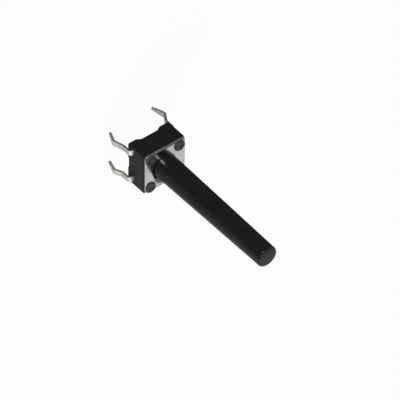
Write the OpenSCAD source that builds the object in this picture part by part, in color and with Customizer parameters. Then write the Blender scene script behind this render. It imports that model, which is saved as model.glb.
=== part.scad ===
// Tactile push button switch, 6 x 6 mm, through-hole, with a long stem.
// Millimetres. +Z runs up the stem, and z = 0 is the face that sits on the circuit board.
// The leads leave the two sides that face -X and +X.

/* [Housing] */
// Width and depth of the square body
body_w = 6; // [5.8:0.1:7]
// Radius of the base's four upright edges
body_corner_r = 0.2; // [0.1:0.05:0.5]
// Height of the moulded base, from the board to the underside of the cover plate
base_h = 2.85; // [2.7:0.05:3.6]
// Thickness of the wall between each side and the round well for the dome and the collar
wall_t = 0.6; // [0.55:0.01:0.65]
// Height of the well's floor above the board
floor_h = 1.1; // [1.08:0.01:1.15]

/* [Underside] */
// Depth of the vent notch in each plain side
vent_depth = 0.33; // [0.2:0.01:0.4]
// Width of that notch at its roof
vent_roof_w = 2.4; // [1.5:0.1:3]
// Run of each sloping flank of that notch
vent_flank = 0.5; // [0.2:0.05:0.7]
// How far the vent notch reaches in from the side
vent_reach = 1.2; // [0.6:0.1:1.6]
// Depth of the shallow notch in each side that has leads
drain_depth = 0.13; // [0.08:0.01:0.2]
// Width of that shallow notch
drain_w = 1.55; // [1:0.05:2]
// How far the shallow notch reaches in from the side
drain_reach = 0.7; // [0.4:0.1:1.2]

/* [Cover plate] */
// Thickness of the steel cover plate
cover_t = 0.3; // [0.2:0.02:0.4]
// How far the plate's edge stays inside the body's side
cover_inset = 0.05; // [0:0.01:0.1]
// Radius of the plate's four corners
cover_corner_r = 0.5; // [0.3:0.05:0.6]
// Diameter of the hole that the stem comes through
cover_hole_d = 3.8; // [3.7:0.05:4]
// Radius of the punched edge round that hole
cover_hole_edge_r = 0.06; // [0.03:0.01:0.08]

/* [Rivet posts] */
// Distance from the cover plate's edges to the middle of each post
rivet_inset = 0.775; // [0.75:0.005:0.8]
// Diameter of a post where it passes the cover plate
rivet_post_d = 0.9; // [0.7:0.05:1]
// Radial gap between a post and its hole in the cover plate
rivet_gap = 0.05; // [0.02:0.01:0.08]
// Diameter of the melted head
rivet_head_d = 1.4; // [1.25:0.05:1.5]
// Height of the melted head above the cover plate
rivet_head_h = 0.2; // [0.15:0.01:0.3]
// Height of the upright rim round the head, below its rounding
rivet_head_rim = 0.07; // [0.04:0.01:0.1]
// Diameter of the dimple that the staking tool leaves
rivet_dimple_d = 0.7; // [0.5:0.05:0.8]
// Depth of that dimple
rivet_dimple_depth = 0.07; // [0.03:0.01:0.1]

/* [Plunger] */
// Height of the stem's end above the board
overall_h = 22; // [13:0.5:25]
// Diameter of the stem at the cover plate
stem_root_d = 3.25; // [3:0.05:3.4]
// Diameter of the stem at its end
stem_tip_d = 2.75; // [2.5:0.05:3]
// Radius of the edge round the stem's end
stem_edge_r = 0.2; // [0.1:0.05:0.4]
// Thickness of the collar that the cover plate holds down
collar_t = 0.65; // [0.5:0.05:0.75]
// Diameter of the nub that pushes the dome
nub_d = 1.3; // [1:0.1:1.6]
// Chamfer round the end of the nub
nub_chamfer = 0.1; // [0.05:0.01:0.15]
// Travel from rest to the click
travel = 0.25; // [0.2:0.01:0.3]

/* [Contact dome] */
// Thickness of its sheet
dome_t = 0.06; // [0.05:0.01:0.08]

/* [Terminals] */
// Thickness of the terminal sheet
lead_t = 0.3; // [0.25:0.01:0.32]
// Width of a lead
lead_w = 0.7; // [0.6:0.05:0.8]
// Spacing of the two lead rows, along Y
lead_row_pitch = 4.5; // [4.4:0.05:4.6]
// Gap between the body's side and the lead that runs down beside it
lead_standoff = 0.15; // [0.12:0.01:0.3]
// Height of the terminal sheet's underside above the board
sheet_z = 0.7; // [0.66:0.01:0.74]
// Depth below the board at which the lead starts to lean out
lean_depth = 0.4; // [0.2:0.05:0.6]
// Depth below the board of the snap-in kink
kink_depth = 1.6; // [1.4:0.05:1.8]
// How far the kink stands out from the upright part of the lead
kink_out = 0.52; // [0.3:0.02:0.7]
// Depth of the lead's end below the board
tip_depth = 3.1; // [2.8:0.1:3.6]
// How far the lead's end lies inside the upright part of the lead
tip_in = 0.15; // [0:0.01:0.3]
// Width of the lead's end, after its taper
tip_w = 0.35; // [0.3:0.05:0.5]
// Length of the lead's taper, from just under the kink to its end
tip_taper = 1.25; // [0.5:0.05:1.4]
// Radius of the bend where the lead starts to lean out
lean_bend_r = 0.8; // [0.4:0.1:1.2]
// Radius of the bend at the kink
kink_bend_r = 0.35; // [0.2:0.05:0.5]
// Width of the tongue that reaches the middle of the well
tongue_w = 0.8; // [0.6:0.05:1]
// Width of the two arms under the dome's rim
arm_w = 0.7; // [0.5:0.05:0.75]
// How far the middle of each rim contact lies inside the dome's rim
rim_contact_in = 0.18; // [0.1:0.01:0.25]
// Angle of each rim contact round the dome, from the X axis
rim_contact_angle = 40; // [36:1:44]
// Diameter of the middle contact
centre_contact_d = 0.9; // [0.7:0.05:1]
// Diameter of each rim contact
rim_contact_d = 0.6; // [0.5:0.05:0.65]
// Height of the contacts above the terminal sheet
contact_h = 0.15; // [0.14:0.01:0.18]

/* [Clearances] */
// Gap left between touching faces of the plunger, the cover and the dome
play = 0.02; // [0.01:0.005:0.04]
// Vertical gap between the collar and the cover plate
collar_lift = 0.05; // [0.02:0.01:0.1]
// Radial gap between the collar and the wall of the well
collar_gap = 0.15; // [0.1:0.01:0.2]
// Radial gap between the dome's rim and the wall of the well
dome_gap = 0.2; // [0.17:0.01:0.25]
// Radial gap round each contact in the floor of the well
window_gap = 0.1; // [0.05:0.01:0.12]

/* [Hidden] */
$fn = 96;
cut = 0.1;                                  // how far a cutting solid passes the face it cuts
bend_steps = 6;                             // flats in a bend or a rounded edge
half_w = body_w / 2;
well_d = body_w - 2 * wall_t;
cover_w = body_w - 2 * cover_inset;
rivet_x = cover_w / 2 - rivet_inset;
cover_z = base_h;
cover_top = cover_z + cover_t;
sheet_top = sheet_z + lead_t;
sheet_mid = sheet_z + lead_t / 2;
contact_z = sheet_top + contact_h;          // the dome's rim rests at this height
dome_d = well_d - 2 * dome_gap;
dome_h = travel + play + dome_t;            // the pressed dome just reaches the middle contact
rim_contact_r = dome_d / 2 - rim_contact_in;
rim_contact_x = rim_contact_r * cos(rim_contact_angle);
rim_contact_y = rim_contact_r * sin(rim_contact_angle);
nub_z = contact_z + dome_h + play;
collar_top = cover_z - collar_lift;
collar_z = collar_top - collar_t;
collar_d = well_d - 2 * collar_gap;
row_y = lead_row_pitch / 2;
pin_x = half_w + lead_standoff + lead_t / 2;
bend_r = pin_x - half_w;                    // bend on the sheet's middle line, starting at the wall

// ---- shared shapes ----

module square_plan(w, r) {
    square([w, w - 2 * r], center = true);
    square([w - 2 * r, w], center = true);
    for (sx = [-1, 1], sy = [-1, 1])
        translate([sx * (w / 2 - r), sy * (w / 2 - r)]) circle(r);
}

module at_rivets() {
    for (sx = [-1, 1], sy = [-1, 1])
        translate([sx * rivet_x, sy * rivet_x, 0]) children();
}

// Quarter round from angle a0 to a1 about a centre
function arc(centre, r, a0, a1) =
    [for (i = [0 : bend_steps])
        let (a = a0 + (a1 - a0) * i / bend_steps)
        [centre[0] + r * cos(a), centre[1] + r * sin(a)]];

// ---- terminal sheet, as a path of straights and bends ----

function unit(v) = v / norm(v);
function left_of(v) = [-v[1], v[0]];

// Points of the bend of radius r at corner b, between a and c
function bend(a, b, c, r) =
    let (
        u = unit(b - a),
        v = unit(c - b),
        turn = atan2(u[0] * v[1] - u[1] * v[0], u * v),
        side = turn > 0 ? 1 : -1,
        start = b - u * r * tan(abs(turn) / 2),
        centre = start + left_of(u) * r * side,
        a0 = atan2(start[1] - centre[1], start[0] - centre[0])
    )
    arc(centre, r, a0, a0 + turn);

// Edge of a strip that follows a path, at distance d to its left
function edge(path, d) =
    [for (i = [0 : len(path) - 1])
        let (
            before = unit(path[max(i, 1)] - path[max(i, 1) - 1]),
            after = unit(path[min(i + 1, len(path) - 1)] - path[min(i, len(path) - 2)]),
            mitre = unit(before + after)
        )
        path[i] + left_of(mitre) * d / (mitre * after)];

function backwards(list) = [for (i = [len(list) - 1 : -1 : 0]) list[i]];

wall_exit = [half_w - cut, sheet_mid];
shoulder = [pin_x, sheet_mid];
lean = [pin_x, -lean_depth];
kink = [pin_x + kink_out, -kink_depth];
tip = [pin_x - tip_in, -tip_depth];
lead_path = concat(
    [wall_exit],
    bend(wall_exit, shoulder, lean, bend_r),
    bend(shoulder, lean, kink, lean_bend_r),
    bend(lean, kink, tip, kink_bend_r),
    [tip]
);

// One lead seen from the front: full width, then the tapered end
module lead_front() {
    polygon([
        [-lead_w / 2, sheet_top + cut],
        [-lead_w / 2, tip_taper - tip_depth],
        [-tip_w / 2, -tip_depth - cut],
        [tip_w / 2, -tip_depth - cut],
        [lead_w / 2, tip_taper - tip_depth],
        [lead_w / 2, sheet_top + cut]
    ]);
}

// One snap-in lead on the +X side, centred on y = 0
module lead() {
    intersection() {
        translate([0, lead_w / 2, 0]) rotate([90, 0, 0]) linear_extrude(lead_w)
            polygon(concat(edge(lead_path, lead_t / 2), backwards(edge(lead_path, -lead_t / 2))));
        rotate([90, 0, 90]) linear_extrude(pin_x + kink_out + lead_t) lead_front();
    }
}

module lead_pair() {
    lead();
    mirror([1, 0, 0]) lead();
}

// Flat part of the terminal with the middle contact
module centre_sheet() {
    translate([0, row_y]) square([body_w, lead_w], center = true);
    translate([-tongue_w / 2, 0]) square([tongue_w, row_y]);
    circle(d = tongue_w);
}

// Flat part of the terminal with the contacts under the dome's rim
module rim_sheet() {
    translate([0, -row_y]) square([body_w, lead_w], center = true);
    for (sx = [-1, 1]) translate([sx * rim_contact_x, 0]) {
        translate([-arm_w / 2, -row_y]) square([arm_w, row_y + rim_contact_y]);
        translate([0, rim_contact_y]) circle(d = arm_w);
    }
}

module at_rim_contacts() {
    for (sx = [-1, 1], sy = [-1, 1])
        translate([sx * rim_contact_x, sy * rim_contact_y, 0]) children();
}

// ---- sub-parts ----

module rivet_post() {
    translate([0, 0, cover_z - cut]) cylinder(d = rivet_post_d, h = cover_t + 2 * cut);
    round_r = rivet_head_h - rivet_head_rim;
    translate([0, 0, cover_top]) rotate_extrude() polygon(concat(
        [[0, 0], [rivet_head_d / 2, 0]],
        arc([rivet_head_d / 2 - round_r, rivet_head_rim], round_r, 0, 90),
        [[rivet_dimple_d / 2, rivet_head_h],
         [rivet_dimple_d / 2 - rivet_dimple_depth, rivet_head_h - rivet_dimple_depth],
         [0, rivet_head_h - rivet_dimple_depth]]
    ));
}

// Notch with sloping flanks in the bottom edge of the +Y side
module vent_notch() {
    roof = vent_roof_w / 2;
    foot = roof + vent_flank;
    over = vent_flank * cut / vent_depth;
    translate([0, half_w + cut, 0]) rotate([90, 0, 0]) linear_extrude(vent_reach + cut)
        polygon([[-foot - over, -cut], [foot + over, -cut], [roof, vent_depth], [-roof, vent_depth]]);
}

module base() {
    color("#232323") {
        difference() {
            linear_extrude(base_h) square_plan(body_w, body_corner_r);
            translate([0, 0, floor_h]) cylinder(d = well_d, h = base_h);
            translate([0, 0, sheet_z]) linear_extrude(lead_t) {
                centre_sheet();
                rim_sheet();
            }
            translate([0, 0, sheet_top - cut])
                cylinder(d = centre_contact_d + 2 * window_gap, h = floor_h - sheet_top + 2 * cut);
            at_rim_contacts() translate([0, 0, sheet_top - cut])
                cylinder(d = rim_contact_d + 2 * window_gap, h = floor_h - sheet_top + 2 * cut);
            for (turn = [0, 180]) rotate([0, 0, turn]) {
                vent_notch();
                translate([half_w - drain_reach, -drain_w / 2, -cut])
                    cube([drain_reach + cut, drain_w, drain_depth + cut]);
            }
        }
        at_rivets() rivet_post();
    }
}

module cover_plate() {
    hole_r = cover_hole_d / 2;
    e = cover_hole_edge_r;
    color("#c9cacb") translate([0, 0, cover_z]) difference() {
        linear_extrude(cover_t) square_plan(cover_w, cover_corner_r);
        translate([0, 0, -cut]) cylinder(r = hole_r, h = cover_t + 2 * cut);
        translate([0, 0, cover_t - e]) rotate_extrude()
            polygon(concat([[0, 0]], arc([hole_r + e, 0], e, 180, 90), [[hole_r + e, cut], [0, cut]]));
        at_rivets() translate([0, 0, -cut])
            cylinder(d = rivet_post_d + 2 * rivet_gap, h = cover_t + 2 * cut);
    }
}

module plunger() {
    root = stem_root_d / 2;
    end = stem_tip_d / 2;
    nub = nub_d / 2;
    color("#1c1c1c") rotate_extrude() polygon(concat(
        [[0, nub_z],
         [nub - nub_chamfer, nub_z],
         [nub, nub_z + nub_chamfer],
         [nub, collar_z],
         [collar_d / 2, collar_z],
         [collar_d / 2, collar_top],
         [root, collar_top],
         [root, cover_top]],
        arc([end - stem_edge_r, overall_h - stem_edge_r], stem_edge_r, 0, 90),
        [[0, overall_h]]
    ));
}

// Shallow spherical cap pressed from thin spring sheet
module contact_dome() {
    rim = dome_d / 2;
    r = (rim * rim + dome_h * dome_h) / (2 * dome_h);
    span = asin(rim / r);
    rings = 12;
    outer = [for (i = [0 : rings]) let (a = span * i / rings) [r * sin(a), r * cos(a) - r + dome_h]];
    r_in = r - dome_t;
    span_in = acos((r - dome_h) / r_in);
    inner = [for (i = [0 : rings]) let (a = span_in * i / rings) [r_in * sin(a), r_in * cos(a) - r + dome_h]];
    color("#b9b8b4") translate([0, 0, contact_z]) rotate_extrude()
        polygon(concat(outer, backwards(inner)));
}

module centre_terminal() {
    color("#d8d8d4") {
        translate([0, row_y, 0]) lead_pair();
        translate([0, 0, sheet_z]) linear_extrude(lead_t) centre_sheet();
        translate([0, 0, sheet_mid]) cylinder(d = centre_contact_d, h = contact_z - sheet_mid);
    }
}

module rim_terminal() {
    color("#d8d8d4") {
        translate([0, -row_y, 0]) lead_pair();
        translate([0, 0, sheet_z]) linear_extrude(lead_t) rim_sheet();
        at_rim_contacts() translate([0, 0, sheet_mid]) cylinder(d = rim_contact_d, h = contact_z - sheet_mid);
    }
}

base();
cover_plate();
plunger();
contact_dome();
centre_terminal();
rim_terminal();
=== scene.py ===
import math

import bmesh
import bpy
from mathutils import Matrix, Quaternion, Vector, noise


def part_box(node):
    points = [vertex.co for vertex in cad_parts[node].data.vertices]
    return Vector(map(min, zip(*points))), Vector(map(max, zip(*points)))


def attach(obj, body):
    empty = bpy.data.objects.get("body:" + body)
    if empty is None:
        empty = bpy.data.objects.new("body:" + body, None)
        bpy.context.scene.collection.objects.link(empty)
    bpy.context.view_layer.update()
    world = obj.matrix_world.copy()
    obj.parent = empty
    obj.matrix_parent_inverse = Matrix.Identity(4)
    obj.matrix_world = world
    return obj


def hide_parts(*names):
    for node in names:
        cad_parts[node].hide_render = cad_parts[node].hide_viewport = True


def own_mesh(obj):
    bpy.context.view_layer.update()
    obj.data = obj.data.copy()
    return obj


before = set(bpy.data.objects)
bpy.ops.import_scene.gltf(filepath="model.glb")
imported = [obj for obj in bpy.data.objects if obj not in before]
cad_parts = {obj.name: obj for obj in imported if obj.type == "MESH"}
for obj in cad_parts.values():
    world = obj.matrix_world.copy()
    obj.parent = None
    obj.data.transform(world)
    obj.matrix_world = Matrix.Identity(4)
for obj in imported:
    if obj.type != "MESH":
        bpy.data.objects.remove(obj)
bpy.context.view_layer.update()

scene = bpy.context.scene
mm = 0.001

# places that the frame gives
plateLow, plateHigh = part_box("cover_plate")
baseLow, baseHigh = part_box("base")
stemLow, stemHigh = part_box("plunger")
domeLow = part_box("contact_dome")[0]
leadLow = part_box("centre_terminal")[0]
halfWidth, seatZ = baseHigh.x, baseLow.z

past = 0.1 * mm          # how far a cutter goes past the face it cuts
hair = 0.001 * mm        # how far a cutter stays clear of a face it would only touch
tiny = 1e-7              # two lengths that differ by less are the same, in metres
foldAngle = 35           # edges that turn by more degrees than this are softened
smallRound = 32          # sides of a small round hole
largeRound = 96          # sides of a large round form
quarters = [(sx, sy) for sx in (-1, 1) for sy in (-1, 1)]


# colours and nodes

def linearColour(hexCode):
    parts = [int(hexCode[i:i + 2], 16) / 255 for i in (1, 3, 5)]
    parts = [c / 12.92 if c <= 0.04045 else ((c + 0.055) / 1.055) ** 2.4 for c in parts]
    return (*parts, 1.0)


def addNode(tree, kind, settings=None, inputs=None):
    # inputs names or numbers each socket, with a plain value or the output socket of another node
    node = tree.nodes.new(kind)
    for name, value in (settings or {}).items():
        setattr(node, name, value)
    for name, value in (inputs or {}).items():
        socket = node.inputs[name]
        if isinstance(value, bpy.types.NodeSocket):
            tree.links.new(value, socket)
        else:
            socket.default_value = value
    return node


def newMaterial(name):
    material = bpy.data.materials.new(name)
    material.use_nodes = True
    material.node_tree.nodes.clear()
    return material, material.node_tree


def grainNoise(tree, size, detail=3.0, stretch=(1, 1, 1)):
    # noise with grains of this width in metres, drawn out along an axis where stretch is under 1
    place = addNode(tree, "ShaderNodeTexCoord")
    drawn = addNode(tree, "ShaderNodeMapping", inputs={
        "Vector": place.outputs["Object"], "Scale": stretch})
    grain = addNode(tree, "ShaderNodeTexNoise", inputs={
        "Vector": drawn.outputs["Vector"], "Scale": 1 / size, "Detail": detail})
    return grain.outputs["Fac"]


def spread(tree, value, low, high):
    # noise stays near its middle, so 0.3 to 0.7 is stretched over low to high
    return addNode(tree, "ShaderNodeMapRange", inputs={
        "Value": value, "From Min": 0.3, "From Max": 0.7,
        "To Min": low, "To Max": high}).outputs["Result"]


def blendColours(tree, factor, dark, light):
    # a mix of colours takes them at 6 and 7, and gives the result at 2
    mix = addNode(tree, "ShaderNodeMix", {"data_type": "RGBA"}, {
        0: factor, 6: linearColour(dark), 7: linearColour(light)})
    return mix.outputs[2]


def finish(tree, shader):
    addNode(tree, "ShaderNodeOutputMaterial", inputs={"Surface": shader.outputs[0]})


def mouldedPlastic(name, look):
    material, tree = newMaterial(name)
    grain = grainNoise(tree, look["grain"], detail=4.0, stretch=look.get("stretch", (1, 1, 1)))
    cloud = spread(tree, grainNoise(tree, look["cloud"]), 0, 1)
    bump = addNode(tree, "ShaderNodeBump", inputs={
        "Height": grain, "Strength": look["bump"], "Distance": look["depth"]})
    finish(tree, addNode(tree, "ShaderNodeBsdfPrincipled", inputs={
        "Base Color": blendColours(tree, cloud, look["dark"], look["light"]),
        "Roughness": spread(tree, grain, look["roughLow"], look["roughHigh"]),
        "Normal": bump.outputs["Normal"], "IOR": 1.5, "Specular IOR Level": look["specular"]}))
    return material


def sheetMetal(name, look):
    material, tree = newMaterial(name)
    lines = grainNoise(tree, look["line"], detail=4.0, stretch=look["stretch"])
    cloud = spread(tree, grainNoise(tree, look["cloud"]), 0, 1)
    bump = addNode(tree, "ShaderNodeBump", inputs={
        "Height": lines, "Strength": look["bump"], "Distance": look["depth"]})
    # a rolled sheet blurs across its lines
    across = addNode(tree, "ShaderNodeCombineXYZ", inputs={"X": 1.0})
    finish(tree, addNode(tree, "ShaderNodeBsdfPrincipled", inputs={
        "Base Color": blendColours(tree, cloud, look["dark"], look["light"]),
        "Roughness": spread(tree, lines, look["roughLow"], look["roughHigh"]),
        "Normal": bump.outputs["Normal"], "Metallic": look.get("metallic", 1.0),
        "Anisotropic": look.get("rolled", 0.0), "Tangent": across.outputs["Vector"]}))
    return material


# mesh helpers

def meshFrom(bm, name):
    bmesh.ops.recalc_face_normals(bm, faces=bm.faces)
    mesh = bpy.data.meshes.new(name)
    bm.to_mesh(mesh)
    bm.free()
    return mesh


def newPiece(name, mesh, material, slotName, *nodes, body="housing"):
    piece = bpy.data.objects.new(name, mesh)
    scene.collection.objects.link(piece)
    mesh.materials.append(material)
    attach(piece, body)
    if nodes:
        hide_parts(*nodes)
    return piece


def shadeSmooth(piece):
    for face in piece.data.polygons:
        face.use_smooth = True


def vertsOf(geom):
    return [g for g in geom if isinstance(g, bmesh.types.BMVert)]


def roundedBlock(width, low, high, cornerR, segments):
    # a square block with its four upright edges rounded
    bm = bmesh.new()
    bmesh.ops.create_cube(bm, size=1, matrix=Matrix.Translation((0, 0, (low + high) / 2))
                          @ Matrix.Diagonal((width, width, high - low, 1)))
    uprights = [e for e in bm.edges if abs(e.verts[0].co.z - e.verts[1].co.z) > tiny]
    bmesh.ops.bevel(bm, geom=uprights, offset=cornerR, offset_type="OFFSET", affect="EDGES",
                    segments=segments, profile=0.5, material=-1)
    return bm


def boxFrom(low, high):
    bm = bmesh.new()
    size, middle = Vector(high) - Vector(low), (Vector(low) + Vector(high)) / 2
    bmesh.ops.create_cube(bm, size=1,
                          matrix=Matrix.Translation(middle) @ Matrix.Diagonal((*size, 1)))
    return bm


def discFrom(centre, radius, low, high, segments):
    bm = bmesh.new()
    bmesh.ops.create_cone(bm, cap_ends=True, segments=segments, radius1=radius, radius2=radius,
                          depth=high - low, matrix=Matrix.Translation((*centre, (low + high) / 2)))
    return bm


def spun(profile, steps):
    # spins a profile of (radius, height) points round the Z axis
    bm = bmesh.new()
    ring = [bm.verts.new((r, 0, z)) for r, z in profile]
    lines = [bm.edges.new(pair) for pair in zip(ring, ring[1:])]
    bmesh.ops.spin(bm, geom=ring + lines, cent=(0, 0, 0), axis=(0, 0, 1), angle=math.tau,
                   steps=steps, use_merge=True, use_duplicate=False)
    bmesh.ops.remove_doubles(bm, verts=bm.verts, dist=tiny)
    return bm


def cornerArc(centre, radius, start, end, steps):
    turns = [math.radians(start + (end - start) * i / steps) for i in range(steps + 1)]
    return [(centre[0] + radius * math.cos(a), centre[1] + radius * math.sin(a)) for a in turns]


def joinMesh(bm, other):
    # adds the other shape to bm
    mesh = bpy.data.meshes.new("part")
    other.to_mesh(mesh)
    other.free()
    bm.from_mesh(mesh)
    bpy.data.meshes.remove(mesh)


def cutAway(bm, cutters, name):
    # takes the cutters out of the block and returns the mesh that is left
    block = bpy.data.objects.new(name, meshFrom(bm, name))
    scene.collection.objects.link(block)
    tools = []
    for shape in cutters:
        tool = bpy.data.objects.new("cutter", meshFrom(shape, "cutter"))
        scene.collection.objects.link(tool)
        cut = block.modifiers.new("cut", "BOOLEAN")
        cut.operation, cut.solver, cut.object = "DIFFERENCE", "EXACT", tool
        tools.append(tool)
    bpy.context.view_layer.update()
    result = block.evaluated_get(bpy.context.evaluated_depsgraph_get())
    left = bpy.data.meshes.new_from_object(result)
    left.name = name
    for thing in [block, *tools]:
        bpy.data.objects.remove(thing, do_unlink=True)
    return left


def softenEdges(piece, width, segments):
    bevel = piece.modifiers.new("edges", "BEVEL")
    bevel.width, bevel.segments, bevel.limit_method = width, segments, "ANGLE"
    bevel.angle_limit = math.radians(foldAngle)
    bevel.use_clamp_overlap = True
    shadeSmooth(piece)
    piece.modifiers.new("shading", "WEIGHTED_NORMAL").keep_sharp = True


# black glass-filled PBT from a spark-eroded mould: a fine matt grain, no gloss of its own
housingFinish = {"dark": "#1d1d1c", "light": "#262625", "grain": 0.2 * mm, "cloud": 1.5 * mm,
                 "roughLow": 0.42, "roughHigh": 0.56, "bump": 0.18, "depth": 0.012 * mm,
                 "specular": 0.22}

# the same plastic after hot staking: greyer, dull and uneven where it has flowed and cooled
stakedFinish = {"dark": "#20201f", "light": "#52524c", "grain": 0.25 * mm, "cloud": 0.28 * mm,
                "roughLow": 0.35, "roughHigh": 0.6, "bump": 0.8, "depth": 0.04 * mm,
                "specular": 0.3}

housing = {
    "cornerR": 0.2 * mm, "cornerSegments": 6, "edge": 0.05 * mm,
    "wellR": 2.4 * mm, "floorZ": 1.1 * mm,
    "ventRoof": 1.2 * mm, "ventFlank": 0.5 * mm, "ventDepth": 0.33 * mm, "ventReach": 1.2 * mm,
    "ventX": -0.12 * mm,
    "drainWidth": 1.55 * mm, "drainDepth": 0.13 * mm, "drainReach": 0.7 * mm,
    "contactHoleR": 0.55 * mm, "contactHoleSteps": 48, "rimHoleR": 0.37 * mm, "sheetTop": 1.0 * mm,
    "pocketWidth": 0.84 * mm, "pocketLow": 0.6 * mm, "pocketHigh": 1.1 * mm,
    "pocketDepth": 0.06 * mm,
    "seamZ": 1.0 * mm, "seamHalf": 0.03 * mm, "seamDepth": 0.012 * mm,
    "pinR": 0.4 * mm, "pinDepth": 0.03 * mm, "pinPlace": (1.9 * mm, 1.045 * mm),
    "gateR": 0.35 * mm, "gateDepth": 0.06 * mm,
}

terminals = {
    "thick": 0.3 * mm, "width": 0.7 * mm, "row": 2.25 * mm, "sheetZ": 0.85 * mm,
    # where a lead starts to lean, where it kinks and where it ends: how far out and how high
    "corners": ((3.3 * mm, -0.4 * mm), (3.82 * mm, -1.6 * mm), (3.15 * mm, -3.1 * mm)),
    "shoulderR": 0.3 * mm, "leanR": 0.8 * mm, "kinkR": 0.28 * mm, "bendSegments": 8,
    "tipWidth": 0.24 * mm, "taper": 1.45 * mm, "edge": 0.035 * mm,
    "tongue": 0.8 * mm, "arm": 0.7 * mm, "armX": 1.547 * mm, "armRound": 0.49,
    "contactZ": 1.15 * mm, "contactR": 0.45 * mm, "rimContactR": 0.3 * mm,
    "rimContactY": 1.298 * mm, "contactEdge": 0.05 * mm, "contactEdgeSteps": 5,
    "contactBevel": 0.01 * mm, "contactSteps": 40,
    # how far the same three places of each lead stand from there, in millimetres, and how far the
    # lead has slid along its side
    "drift": {(-1, 1): ((0.06, 0), (-0.04, -0.15), (-0.06, -0.21)),
              (-1, -1): ((0.19, 0), (0.15, 0.24), (0.28, 0.07)),
              (1, 1): ((-0.17, -0.23), (-0.02, -0.12), (0.17, -0.5)),
              (1, -1): ((0, 0), (0, 0), (0.05, -0.2))},
    "slide": {(-1, -1): 0.25 * mm}, "slideReach": 0.2 * mm,
}


def ventCutter(side):
    # notch with sloping flanks in the bottom edge of the +Y or -Y side
    h = housing
    ends = sorted((side * (halfWidth + past), side * (halfWidth - h["ventReach"])))
    bm = boxFrom((-1, ends[0], seatZ - past), (1, ends[1], seatZ + h["ventDepth"]))
    for v in bm.verts:
        flank = 0 if v.co.z > seatZ else h["ventFlank"] * (1 + past / h["ventDepth"])
        v.co.x = math.copysign(h["ventRoof"] + flank, v.co.x) + h["ventX"]
    return bm


def buildHousing():
    h, t = housing, terminals
    block = roundedBlock(2 * halfWidth, seatZ, plateLow.z, h["cornerR"], h["cornerSegments"])
    for z in (h["seamZ"] - h["seamHalf"], h["seamZ"], h["seamZ"] + h["seamHalf"]):
        bmesh.ops.bisect_plane(block, geom=block.verts[:] + block.edges[:] + block.faces[:],
                               plane_co=(0, 0, z), plane_no=(0, 0, 1))
    seam = [v for v in block.verts if abs(v.co.z - h["seamZ"]) < tiny]
    shrink = 1 - h["seamDepth"] / halfWidth       # the mould's parting line
    bmesh.ops.scale(block, vec=(shrink, shrink, 1), verts=seam)

    cutters = [discFrom((0, 0), h["wellR"], h["floorZ"], plateLow.z + past, largeRound),
               discFrom((0, 0), h["contactHoleR"], h["sheetTop"], h["floorZ"] + past,
                        h["contactHoleSteps"]),
               discFrom((0, 0), h["gateR"], seatZ - past, seatZ + h["gateDepth"], smallRound)]
    cutters += [ventCutter(side) for side in (-1, 1)]
    for sx in (-1, 1):
        ends = sorted((sx * (halfWidth - h["drainReach"]), sx * (halfWidth + past)))
        cutters.append(boxFrom((ends[0], -h["drainWidth"] / 2, seatZ - past),
                               (ends[1], h["drainWidth"] / 2, seatZ + h["drainDepth"])))
        for sy in (-1, 1):
            pocket = sorted((sx * (halfWidth - h["pocketDepth"]), sx * (halfWidth + past)))
            leadY = sy * t["row"] + t["slide"].get((sx, sy), 0)
            cutters.append(boxFrom((pocket[0], leadY - h["pocketWidth"] / 2, h["pocketLow"]),
                                   (pocket[1], leadY + h["pocketWidth"] / 2, h["pocketHigh"])))
            cutters.append(discFrom((sx * t["armX"], sy * t["rimContactY"]), h["rimHoleR"],
                                    h["sheetTop"], h["floorZ"] + past, smallRound))
            cutters.append(discFrom((sx * h["pinPlace"][0], sy * h["pinPlace"][1]), h["pinR"],
                                    seatZ - past, seatZ + h["pinDepth"], smallRound))
    piece = newPiece("housing", cutAway(block, cutters, "housing"),
                     mouldedPlastic("moulded_pbt_black", housingFinish), "housing_plastic", "base")
    softenEdges(piece, h["edge"], 3)


rivet = {"pitch": 4.35 * mm, "postR": 0.45 * mm, "headR": 0.74 * mm, "headHeight": 0.2 * mm,
         "rim": 0.07 * mm, "foot": 0.02 * mm, "steps": 48, "crownSteps": 6,
         # the sunk middle of a head, from its lip inwards: radius and depth in millimetres
         "dimple": ((0.43, 0), (0.35, 0.01), (0.31, 0.063),
                    (0.25, 0.09), (0.14, 0.081), (0, 0.054)),
         "flow": 0.04 * mm, "flowSize": 0.33 * mm, "drift": {(1, 1): (-0.06 * mm, -0.12 * mm)}}


def buildRivets():
    r = rivet
    top = plateHigh.z
    roundR = r["headHeight"] - r["rim"]
    crown = top + r["headHeight"]
    profile = [(0, plateLow.z - past), (r["postR"], plateLow.z - past), (r["postR"], top),
               (r["headR"] - r["foot"], top)]
    profile += cornerArc((r["headR"] - roundR, top + r["rim"]), roundR, 0, 90, r["crownSteps"])
    profile += [(radius * mm, crown - depth * mm) for radius, depth in r["dimple"]]
    bm = spun(profile, r["steps"])
    one = bm.verts[:] + bm.edges[:] + bm.faces[:]
    places = [Vector((*q, 0)) * r["pitch"] / 2 + Vector((*r["drift"].get(q, (0, 0)), 0))
              for q in quarters]
    for place in places[1:]:
        bmesh.ops.translate(bm, verts=vertsOf(bmesh.ops.duplicate(bm, geom=one)["geom"]), vec=place)
    bmesh.ops.translate(bm, verts=vertsOf(one), vec=places[0])
    for v in bm.verts:
        if v.co.z > top + r["foot"]:             # melted plastic never flows evenly
            v.co += noise.noise_vector(v.co / r["flowSize"]) * r["flow"]
    shadeSmooth(newPiece("rivet_heads", meshFrom(bm, "rivet_heads"),
                         mouldedPlastic("staked_pbt_grey", stakedFinish), "housing_plastic"))


buildHousing()
buildRivets()
print("housing and rivet heads built")


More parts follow.
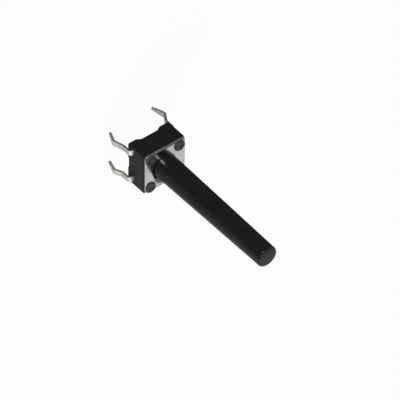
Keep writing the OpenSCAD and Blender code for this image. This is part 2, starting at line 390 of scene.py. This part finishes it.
# stainless sheet, bright rolled: a soft mirror with fine lines along the rolling direction
coverFinish = {"dark": "#aeaeac", "light": "#bebebc", "line": 0.2 * mm, "stretch": (1, 0.05, 1),
               "cloud": 1.2 * mm, "roughLow": 0.15, "roughHigh": 0.2,
               "bump": 0.1, "depth": 0.004 * mm, "rolled": 0.6}

# the edge of the same sheet, burnished by the punch: duller, so it blurs what it mirrors; its
# colour, darker than the sheet's, is painted shade that dims what the edge mirrors
rolledEdgeFinishWithShade = {"dark": "#737370", "light": "#858582", "line": 0.2 * mm, "stretch": (1, 1, 1),
                "cloud": 0.6 * mm, "roughLow": 0.5, "roughHigh": 0.6,
                "bump": 0.15, "depth": 0.004 * mm}

cover = {"cornerR": 0.5 * mm, "cornerSegments": 8, "holeEdge": 0.04 * mm,
         "holeR": 1.775 * mm, "holeAt": (-0.12 * mm, -0.13 * mm), "postHoleR": 0.5 * mm,
         # the sheet drawn down round the stem's hole, deepest towards an angle in degrees from +X
         "dishWidth": 0.8 * mm, "dishDepth": 0.05 * mm, "dishSteps": 10,
         "dishToward": 250, "dishSkew": 0.8,
         # the outer edge drawn down in an oval, from this angle of it up to its top
         "rollWidth": 0.26 * mm, "rollDepth": 0.13 * mm, "rollFrom": 38, "rollSteps": 7,
         # faces this far from the middle that tilt enough belong to the outer edge, which takes the
         # darker finish of painted shade
         "edgeOutside": 2.9 * mm, "edgeTilt": 0.985,
         "shift": (0.05 * mm, 0, 0)}


def plateBlank():
    # the punch draws the top edge down in part of an oval and leaves the lower edge sharp
    c = cover
    block = roundedBlock(2 * plateHigh.x, plateLow.z, plateHigh.z - c["rollDepth"],
                         c["cornerR"], c["cornerSegments"])
    top = max(block.faces, key=lambda f: f.calc_center_median().z)
    turns = [math.radians(c["rollFrom"] + (90 - c["rollFrom"]) * i / c["rollSteps"])
             for i in range(c["rollSteps"] + 1)]
    wide, deep = c["rollWidth"] / math.cos(turns[0]), c["rollDepth"] / (1 - math.sin(turns[0]))
    for a, b in zip(turns, turns[1:]):
        bmesh.ops.inset_region(block, faces=[top], thickness=wide * (math.cos(a) - math.cos(b)),
                               use_even_offset=True)
        bmesh.ops.translate(block, verts=top.verts,
                            vec=(0, 0, deep * (math.sin(b) - math.sin(a))))
    return block


def stemPunch():
    # the punch for the stem also draws the sheet down round its hole, deeper on one side
    c = cover
    brim = plateHigh.z + hair
    punch = [(0, plateLow.z - past), (c["holeR"], plateLow.z - past)]
    for i in range(c["dishSteps"] + 1):
        t = i / c["dishSteps"]
        punch.append((c["holeR"] + c["dishWidth"] * t, brim - c["dishDepth"] * (1 - t) ** 2))
    hole = spun([*punch, (punch[-1][0], plateHigh.z + past), (0, plateHigh.z + past)], largeRound)
    for v in hole.verts:
        fall, turn = brim - v.co.z, math.atan2(v.co.y, v.co.x) - math.radians(c["dishToward"])
        if 0 < fall < 2 * c["dishDepth"]:
            v.co.z -= fall * c["dishSkew"] * math.cos(turn)
    bmesh.ops.translate(hole, verts=hole.verts, vec=(*c["holeAt"], 0))
    return hole


def buildCover():
    c = cover
    block = plateBlank()
    cutters = [stemPunch()]
    cutters += [discFrom((sx * rivet["pitch"] / 2, sy * rivet["pitch"] / 2), c["postHoleR"],
                         plateLow.z - past, plateHigh.z + past, smallRound) for sx, sy in quarters]
    mesh = cutAway(block, cutters, "cover")
    mesh.transform(Matrix.Translation(c["shift"]))     # the plate lies a little off the middle
    piece = newPiece("cover", mesh, sheetMetal("rolled_stainless_sheet", coverFinish),
                     "cover_steel", "cover_plate")
    # the rolled edge gets a rougher finish, and its darker colour is painted shade
    mesh.materials.append(sheetMetal("rough_stainless_edge_painted_shade", rolledEdgeFinishWithShade))
    for face in mesh.polygons:
        outside = Vector(face.center[:2]).length > c["edgeOutside"]
        if outside and abs(face.normal.z) < c["edgeTilt"]:
            face.material_index = 1
    softenEdges(piece, c["holeEdge"], 3)


buildCover()
print("cover plate built")


# black POM from a polished mould: darker and smoother than the housing, so it takes a soft sheen
stemFinish = {"dark": "#222222", "light": "#292928", "grain": 0.3 * mm, "cloud": 2.5 * mm,
              "stretch": (1, 1, 0.15), "roughLow": 0.17, "roughHigh": 0.22,
              "bump": 0.04, "depth": 0.004 * mm, "specular": 0.16}

stem = {"rootR": 1.625 * mm, "tipR": 1.375 * mm, "tipEdgeR": 0.2 * mm, "tipEdgeSteps": 8,
        "collarR": 2.25 * mm, "collarLow": 2.15 * mm, "collarHigh": 2.8 * mm,
        "nubR": 0.65 * mm, "nubChamfer": 0.1 * mm, "edge": 0.03 * mm, "steps": 128, "rings": 24}


def buildStem():
    s = stem
    low, high = stemLow.z, stemHigh.z
    profile = [(0, low), (s["nubR"] - s["nubChamfer"], low), (s["nubR"], low + s["nubChamfer"]),
               (s["nubR"], s["collarLow"]), (s["collarR"], s["collarLow"]),
               (s["collarR"], s["collarHigh"]), (s["rootR"], s["collarHigh"])]
    root, end = plateHigh.z, high - s["tipEdgeR"]
    for i in range(s["rings"]):
        t = i / s["rings"]
        profile.append((s["rootR"] + (s["tipR"] - s["rootR"]) * t, root + (end - root) * t))
    profile += cornerArc((s["tipR"] - s["tipEdgeR"], end), s["tipEdgeR"], 0, 90, s["tipEdgeSteps"])
    profile.append((0, high))
    piece = newPiece("stem", meshFrom(spun(profile, s["steps"]), "stem"),
                     mouldedPlastic("polished_pom_black", stemFinish),
                     "stem_plastic", "plunger", body="button")
    softenEdges(piece, s["edge"], 2)


buildStem()
print("stem built")


# brass sheet under bright tin: silvery, a little milky, drawn out along the strip
platedFinish = {"dark": "#d8d7d3", "light": "#efeeea", "line": 0.3 * mm, "stretch": (1, 1, 0.3),
                "cloud": 0.6 * mm, "roughLow": 0.34, "roughHigh": 0.5,
                "bump": 0.2, "depth": 0.01 * mm, "metallic": 0.8}

# the same sheet where the die sheared it: bare, torn and duller
shearedFinish = {"dark": "#9a9892", "light": "#b8b6af", "line": 0.08 * mm, "stretch": (1, 1, 0.3),
                 "cloud": 0.3 * mm, "roughLow": 0.5, "roughHigh": 0.68,
                 "bump": 0.3, "depth": 0.01 * mm}

# silver inlaid in the contacts, dulled a little by its tarnish
silverFinish = {"dark": "#c9c6bd", "light": "#e6e3da", "line": 0.1 * mm, "stretch": (1, 1, 1),
                "cloud": 0.3 * mm, "roughLow": 0.2, "roughHigh": 0.34,
                "bump": 0.1, "depth": 0.004 * mm}


def leadCorners(sx, sy):
    # the middle line of one lead, from its end up to the bend where it enters the housing
    t = terminals
    lean, kink, tip = (Vector((x + out * mm, z + up * mm))
                       for (x, z), (out, up) in zip(t["corners"], t["drift"][sx, sy]))
    taperStart = tip.lerp(kink, t["taper"] / (kink - tip).length)
    return [(sx * x, z) for x, z in (tip, taperStart, kink, lean, (lean.x, t["sheetZ"]))]


def roundCorner(bm, corner, radius):
    arms = [(e.other_vert(corner).co - corner.co).normalized() for e in corner.link_edges]
    turn = math.pi - arms[0].angle(arms[1])
    bmesh.ops.bevel(bm, geom=[corner], offset=radius * math.tan(turn / 2), offset_type="OFFSET",
                    affect="VERTICES", segments=terminals["bendSegments"], profile=0.5,
                    material=-1)


def terminalSheet(rowY, inward, limbs, reach):
    # the middle surface of one stamping: two leads, the strip that joins them, the tongue or arms
    t = terminals
    sy = 1 if rowY > 0 else -1
    left, right = leadCorners(-1, sy), leadCorners(1, sy)
    inner = [(x, t["sheetZ"]) for limb in limbs for x in limb]
    nearY = rowY - inward * t["width"] / 2
    bm = bmesh.new()
    chain = [bm.verts.new((x, nearY, z)) for x, z in left + inner + right[::-1]]
    for pair in zip(chain, chain[1:]):
        bm.edges.new(pair)
    for side in (chain, chain[::-1]):
        for place, radius in ((2, t["kinkR"]), (3, t["leanR"]), (4, t["shoulderR"])):
            roundCorner(bm, side[place], radius)
    strip = bmesh.ops.extrude_edge_only(bm, edges=bm.edges[:])["geom"]
    bmesh.ops.translate(bm, verts=vertsOf(strip), vec=(0, inward * t["width"], 0))
    for v in bm.verts:
        if min((v.co - Vector((x, v.co.y, z))).length for x, z in (left[0], right[0])) < tiny:
            v.co.y = rowY + math.copysign(t["tipWidth"] / 2, v.co.y - rowY)
    for v in bm.verts:
        if abs(v.co.x) > halfWidth - t["slideReach"]:
            v.co.y += t["slide"].get((math.copysign(1, v.co.x), sy), 0)

    farY = rowY + inward * t["width"] / 2
    for low, high in limbs:
        root = [e for e in bm.edges if all(
            abs(v.co.y - farY) < tiny and low - tiny < v.co.x < high + tiny
            and v.co.z > t["sheetZ"] - tiny for v in e.verts)]
        ends = vertsOf(bmesh.ops.extrude_edge_only(bm, edges=root)["geom"])
        bmesh.ops.translate(bm, verts=ends, vec=(0, inward * abs(reach - farY), 0))
        bmesh.ops.bevel(bm, geom=ends, offset=(high - low) * t["armRound"], offset_type="OFFSET",
                        affect="VERTICES", segments=t["bendSegments"], profile=0.5, material=-1)
    return bm


def buildTerminals():
    t = terminals
    plated = sheetMetal("tin_plated_brass", platedFinish)
    sheared = sheetMetal("sheared_brass_edge", shearedFinish)
    arms = [(x - t["arm"] / 2, x + t["arm"] / 2) for x in (-t["armX"], t["armX"])]
    tongue = [(-t["tongue"] / 2, t["tongue"] / 2)]
    middle = terminalSheet(t["row"], -1, tongue, -t["tongue"] / 2)
    rim = terminalSheet(-t["row"], 1, arms, t["rimContactY"] + t["arm"] / 2)
    for name, sheet, node in (("terminal_middle", middle, "centre_terminal"),
                              ("terminal_rim", rim, "rim_terminal")):
        piece = newPiece(name, meshFrom(sheet, name), plated, "terminal_metal", node)
        piece.data.materials.append(sheared)
        wall = piece.modifiers.new("sheet", "SOLIDIFY")
        wall.thickness, wall.offset, wall.use_even_offset = t["thick"], 0, True
        wall.material_offset_rim = 1
        softenEdges(piece, t["edge"], 2)


def buildContacts():
    t = terminals
    low, high, edge = t["sheetZ"], t["contactZ"], t["contactEdge"]
    bm = bmesh.new()
    spots = [((0, 0), t["contactR"])]
    spots += [((sx * t["armX"], sy * t["rimContactY"]), t["rimContactR"]) for sx, sy in quarters]
    for place, radius in spots:
        profile = [(0, low), (radius, low), (radius, high - edge)]
        bend = cornerArc((radius - edge, high - edge), edge, 0, 90, t["contactEdgeSteps"])
        one = spun([*profile, *bend[1:], (0, high)], t["contactSteps"])
        bmesh.ops.translate(one, verts=one.verts, vec=(*place, 0))
        joinMesh(bm, one)
    piece = newPiece("contacts", meshFrom(bm, "contacts"),
                     sheetMetal("inlaid_silver", silverFinish), "terminal_metal")
    softenEdges(piece, t["contactBevel"], 1)


# stainless spring sheet: bright, with the faint lines of its rolling
springFinish = {"dark": "#aaa9a5", "light": "#c2c1bd", "line": 0.3 * mm, "stretch": (1, 0.1, 1),
                "cloud": 1 * mm, "roughLow": 0.2, "roughHigh": 0.3,
                "bump": 0.1, "depth": 0.004 * mm}

dome = {"rimR": 2.2 * mm, "thick": 0.06 * mm, "rise": 0.33 * mm, "travel": 0.25 * mm, "steps": 16}


def buildDome():
    d = dome
    rimZ = domeLow.z
    rise = d["rise"] - d["thick"]
    ballR = (d["rimR"] ** 2 + rise ** 2) / (2 * rise)
    span = math.degrees(math.asin(d["rimR"] / ballR))
    under = cornerArc((0, rimZ + rise - ballR), ballR, 90, 90 - span, d["steps"])
    over = [(r, z + d["thick"]) for r, z in under]
    bm = spun([*under, *over[::-1]], largeRound)
    piece = newPiece("snap_dome", meshFrom(bm, "snap_dome"),
                     sheetMetal("stainless_spring_sheet", springFinish),
                     "dome_steel", "contact_dome")
    shadeSmooth(piece)
    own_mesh(piece)


buildTerminals()
buildContacts()
buildDome()
print("terminals, contacts and dome built")


# stage

stage = {"floorZ": leadLow.z - 0.5 * mm, "floorSize": 3.0, "floorColour": "#f2f2f1",
         "shownToCamera": 0.95, "shownInGloss": 0.35, "glossLevel": 0.1, "fill": 0.56}


def shownRays(tree, toCamera, inGloss):
    # how white the surround looks to a ray straight from the camera, and to one by way of metal
    path = addNode(tree, "ShaderNodeLightPath")
    direct = addNode(tree, "ShaderNodeMath", {"operation": "MULTIPLY"}, {
        0: path.outputs["Is Camera Ray"], 1: toCamera})
    mirrored = addNode(tree, "ShaderNodeMath", {"operation": "MAXIMUM"}, {
        0: path.outputs["Is Glossy Ray"], 1: path.outputs["Is Transmission Ray"]})
    return addNode(tree, "ShaderNodeMath", {"operation": "MULTIPLY_ADD"}, {
        0: mirrored.outputs[0], 1: inGloss, 2: direct.outputs[0]}).outputs[0]


def buildFloor():
    bm = bmesh.new()
    bmesh.ops.create_grid(bm, x_segments=1, y_segments=1, size=stage["floorSize"] / 2,
                          matrix=Matrix.Translation((0, 0, stage["floorZ"])))
    floor = bpy.data.objects.new("floor", meshFrom(bm, "floor"))
    scene.collection.objects.link(floor)
    material, tree = newMaterial("white_paper_floor")
    paper = addNode(tree, "ShaderNodeBsdfDiffuse", inputs={
        "Color": linearColour(stage["floorColour"])})
    level = addNode(tree, "ShaderNodeMapRange", inputs={
        "Value": shownRays(tree, 1.0, 0.0), "To Min": stage["glossLevel"], "To Max": 1.0})
    glow = addNode(tree, "ShaderNodeEmission", inputs={
        "Color": (1, 1, 1, 1), "Strength": level.outputs["Result"]})
    finish(tree, addNode(tree, "ShaderNodeMixShader", inputs={
        "Fac": shownRays(tree, stage["shownToCamera"], stage["shownInGloss"]),
        1: paper.outputs[0], 2: glow.outputs[0]}))
    floor.data.materials.append(material)


def buildWorld():
    world = bpy.data.worlds.new("studio")
    world.use_nodes = True
    scene.world = world
    tree = world.node_tree
    tree.nodes.clear()
    strength = addNode(tree, "ShaderNodeMapRange", inputs={
        "Value": shownRays(tree, 1.0, 1.0), "To Min": stage["fill"], "To Max": 1.0})
    sky = addNode(tree, "ShaderNodeBackground", inputs={
        "Color": (1, 1, 1, 1), "Strength": strength.outputs["Result"]})
    addNode(tree, "ShaderNodeOutputWorld", inputs={"Surface": sky.outputs[0]})


# dimly glowing cards out of view that only gloss sees, a painted dark reflection for metal and
# gloss to mirror: two lie on the floor beside the switch, with their middle and size, and two hang,
# with their direction and size
darkCards = {"lyingGlow": 0.06, "hangingGlow": 0.17, "lift": 0.05 * mm,
             "lying": (((0.2, 0.2045), (1.4, 0.4)), ((0.206, -0.1), (0.4, 0.4))),
             "hanging": (((0.447, 0.55, 0.70), (0.24, 0.84)), ((0.447, -0.42, 0.79), (0.22, 0.16))),
             "distance": 0.3}


def buildDarkCards():
    c = darkCards
    spots = [(c["lyingGlow"], Matrix.Translation((*middle, stage["floorZ"] + c["lift"]))
              @ Matrix.Diagonal((*size, 1, 1))) for middle, size in c["lying"]]
    for direction, size in c["hanging"]:
        facing = Vector(direction).normalized()
        along = facing.cross((1, 0, 0)).normalized()
        turned = Matrix((along.cross(facing), along, facing)).transposed().to_4x4()
        spots.append((c["hangingGlow"], Matrix.Translation(facing * c["distance"]) @ turned
                      @ Matrix.Diagonal((*size, 1, 1))))
    # each card glows dimly and is hidden from the camera, from diffuse light and from shadow: it is
    # painted dark reflection, not a real card
    for glow, spot in spots:
        material, tree = newMaterial("gloss_only_dark_reflection")
        finish(tree, addNode(tree, "ShaderNodeEmission", inputs={
            "Color": (1, 1, 1, 1), "Strength": glow}))
        bm = bmesh.new()
        bmesh.ops.create_grid(bm, x_segments=1, y_segments=1, size=0.5, matrix=spot)
        card = bpy.data.objects.new("dark_reflection_card", meshFrom(bm, "dark_reflection_card"))
        scene.collection.objects.link(card)
        card.data.materials.append(material)
        card.visible_camera = card.visible_diffuse = False
        card.visible_shadow = card.visible_transmission = False


# lamps: direction from the switch, distance and width in metres, how bright the panel is, and
# whether only gloss sees it or only matt surfaces do
lamps = {
    "keyPanel": {"from": (-0.48, -0.74, 0.47), "distance": 0.08, "width": 0.06,
                 "radiance": 2.15, "inGloss": False},
    "smallLamp": {"from": (-0.33, 0.76, 0.61), "distance": 0.3, "width": 0.056,
                  "radiance": 60, "inGloss": True},
}


def buildLamps():
    for name, s in lamps.items():
        lamp = bpy.data.lights.new(name, "AREA")
        lamp.shape, lamp.size = "SQUARE", s["width"]
        lamp.energy = s["radiance"] * math.pi * s["width"] ** 2
        light = bpy.data.objects.new(name, lamp)
        scene.collection.objects.link(light)
        light.visible_camera = False
        light.visible_glossy, light.visible_diffuse = s["inGloss"], not s["inGloss"]
        direction = Vector(s["from"]).normalized()
        light.location = direction * s["distance"]
        light.rotation_euler = (-direction).to_track_quat("-Z", "Y").to_euler()


camera = {"azimuth": 212.31, "elevation": 33.19, "roll": 131.77, "distance": 0.5, "lens": 386.7,
          "aim": Vector((1.44, -2.77, 7.90)) * mm}


def buildCamera():
    c = camera
    a, e = math.radians(c["azimuth"]), math.radians(c["elevation"])
    back = Vector((math.sin(a) * math.cos(e), -math.cos(a) * math.cos(e), math.sin(e)))
    shot = bpy.data.objects.new("camera", bpy.data.cameras.new("camera"))
    scene.collection.objects.link(shot)
    shot.data.lens = c["lens"]
    shot.data.clip_start, shot.data.clip_end = 0.01, 10
    shot.location = c["aim"] + back * c["distance"]
    shot.rotation_mode = "QUATERNION"
    roll = Quaternion((0, 0, 1), math.radians(c["roll"]))
    shot.rotation_quaternion = (-back).to_track_quat("-Z", "Y") @ roll
    scene.camera = shot


buildFloor()
buildDarkCards()
buildWorld()
buildLamps()
buildCamera()
scene.view_settings.view_transform = "Standard"
print("stage, lamps and camera ready")
